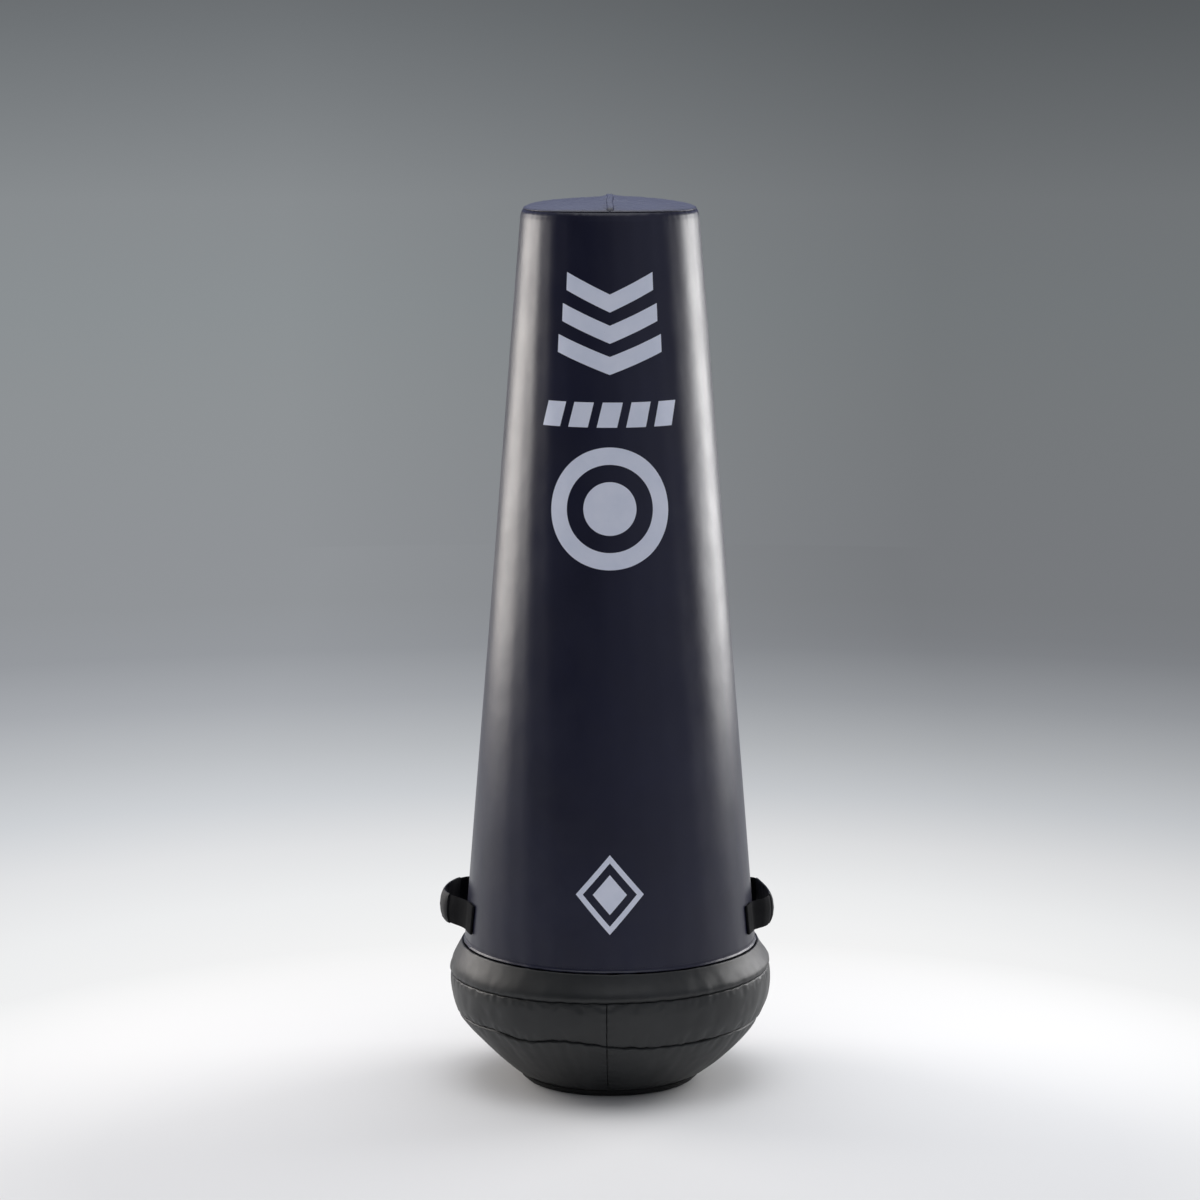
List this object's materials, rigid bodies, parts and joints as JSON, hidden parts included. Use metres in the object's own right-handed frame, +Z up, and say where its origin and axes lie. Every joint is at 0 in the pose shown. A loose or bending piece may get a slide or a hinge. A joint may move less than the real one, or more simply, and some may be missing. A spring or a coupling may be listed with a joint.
{
  "type": "tackling bag",
  "caption": "Free-standing cone-shaped tackling bag with a weighted, rounded base, a flat foot, webbing carry handles and a rear zip.",
  "frame": {"origin": "centre of the underside of the foot disc, on the floor", "axes": "+Z up along the axis of the cone, the printed front faces -Y, +X is on the right of someone looking at the front"},
  "size_m": [0.5874, 0.559, 1.5368],
  "materials": {
    "navy_vinyl": "satin",
    "black_vinyl": "satin",
    "foot_rubber": "matte",
    "webbing": "matte",
    "grip_vinyl": "satin",
    "zip_fabric": "matte",
    "zip_plastic": "satin",
    "zip_metal": "satin",
    "foam": "matte",
    "core_foam": "matte",
    "ballast_steel": "matte",
    "post_plastic": "satin",
    "fastener_steel": "satin"
  },
  "bodies": {
    "bag": {"cone_cover": "navy_vinyl", "top_panel_left": "navy_vinyl", "top_panel_right": "navy_vinyl", "top_seam": "navy_vinyl", "shoulder_band": "black_vinyl", "base_upper_panel_left": "black_vinyl", "base_upper_panel_right": "black_vinyl", "base_lower_panel_left": "black_vinyl", "base_lower_panel_right": "black_vinyl", "base_bottom_panel": "black_vinyl", "foot_disc": "foot_rubber", "base_foam_bowl": "foam", "base_foam_deck": "foam", "body_foam": "foam", "top_foam_pad": "foam", "core_foam_sleeve": "core_foam", "ballast_plate_1": "ballast_steel", "ballast_plate_2": "ballast_steel", "ballast_plate_3": "ballast_steel", "post_flange": "ballast_steel", "ballast_bolt_1": "fastener_steel", "ballast_bolt_2": "fastener_steel", "ballast_bolt_3": "fastener_steel", "ballast_bolt_4": "fastener_steel", "ballast_nut_1": "fastener_steel", "ballast_nut_2": "fastener_steel", "ballast_nut_3": "fastener_steel", "ballast_nut_4": "fastener_steel", "core_post": "post_plastic", "post_cap": "post_plastic", "post_bolt": "fastener_steel", "post_bolt_nut": "fastener_steel", "handle_left_tab_front": "webbing", "handle_left_tab_rear": "webbing", "handle_right_tab_front": "webbing", "handle_right_tab_rear": "webbing", "zip_tape_left": "zip_fabric", "zip_tape_right": "zip_fabric", "zip_chain_left": "zip_plastic", "zip_chain_right": "zip_plastic", "zip_stop_lower": "zip_metal", "zip_stop_upper": "zip_metal"},
    "handle_left": {"handle_left_grip": "grip_vinyl", "handle_left_leg_front": "webbing", "handle_left_leg_rear": "webbing"},
    "handle_right": {"handle_right_grip": "grip_vinyl", "handle_right_leg_front": "webbing", "handle_right_leg_rear": "webbing"},
    "slider": {"zip_slider": "zip_metal"},
    "pull": {"zip_pull": "zip_metal"}
  },
  "joints": [
    {"name": "handle_left_swing", "type": "hinge", "parent": "bag", "child": "handle_left", "pos_m": [-0.22662, 0.042, 0.29701], "axis": [0.1822, 0.9833, 0], "range_deg": [-33, 35], "stiffness_Nm_per_rad": 0.4, "deforming": ["handle_left_leg_front", "handle_left_leg_rear"]},
    {"name": "handle_right_swing", "type": "hinge", "parent": "bag", "child": "handle_right", "pos_m": [0.22662, 0.042, 0.29701], "axis": [0.1822, -0.9833, 0], "range_deg": [-33, 35], "stiffness_Nm_per_rad": 0.4, "deforming": ["handle_right_leg_front", "handle_right_leg_rear"]},
    {"name": "zip_slide", "type": "slide", "parent": "bag", "child": "slider", "axis": [0, -0.0797, 0.9968], "range_m": [0, 0.777]},
    {"name": "zip_pull_swing", "type": "hinge", "parent": "slider", "child": "pull", "pos_m": [0, 0.25055, 0.3095], "axis": [1, 0, 0], "range_deg": [0, 165]}
  ]
}
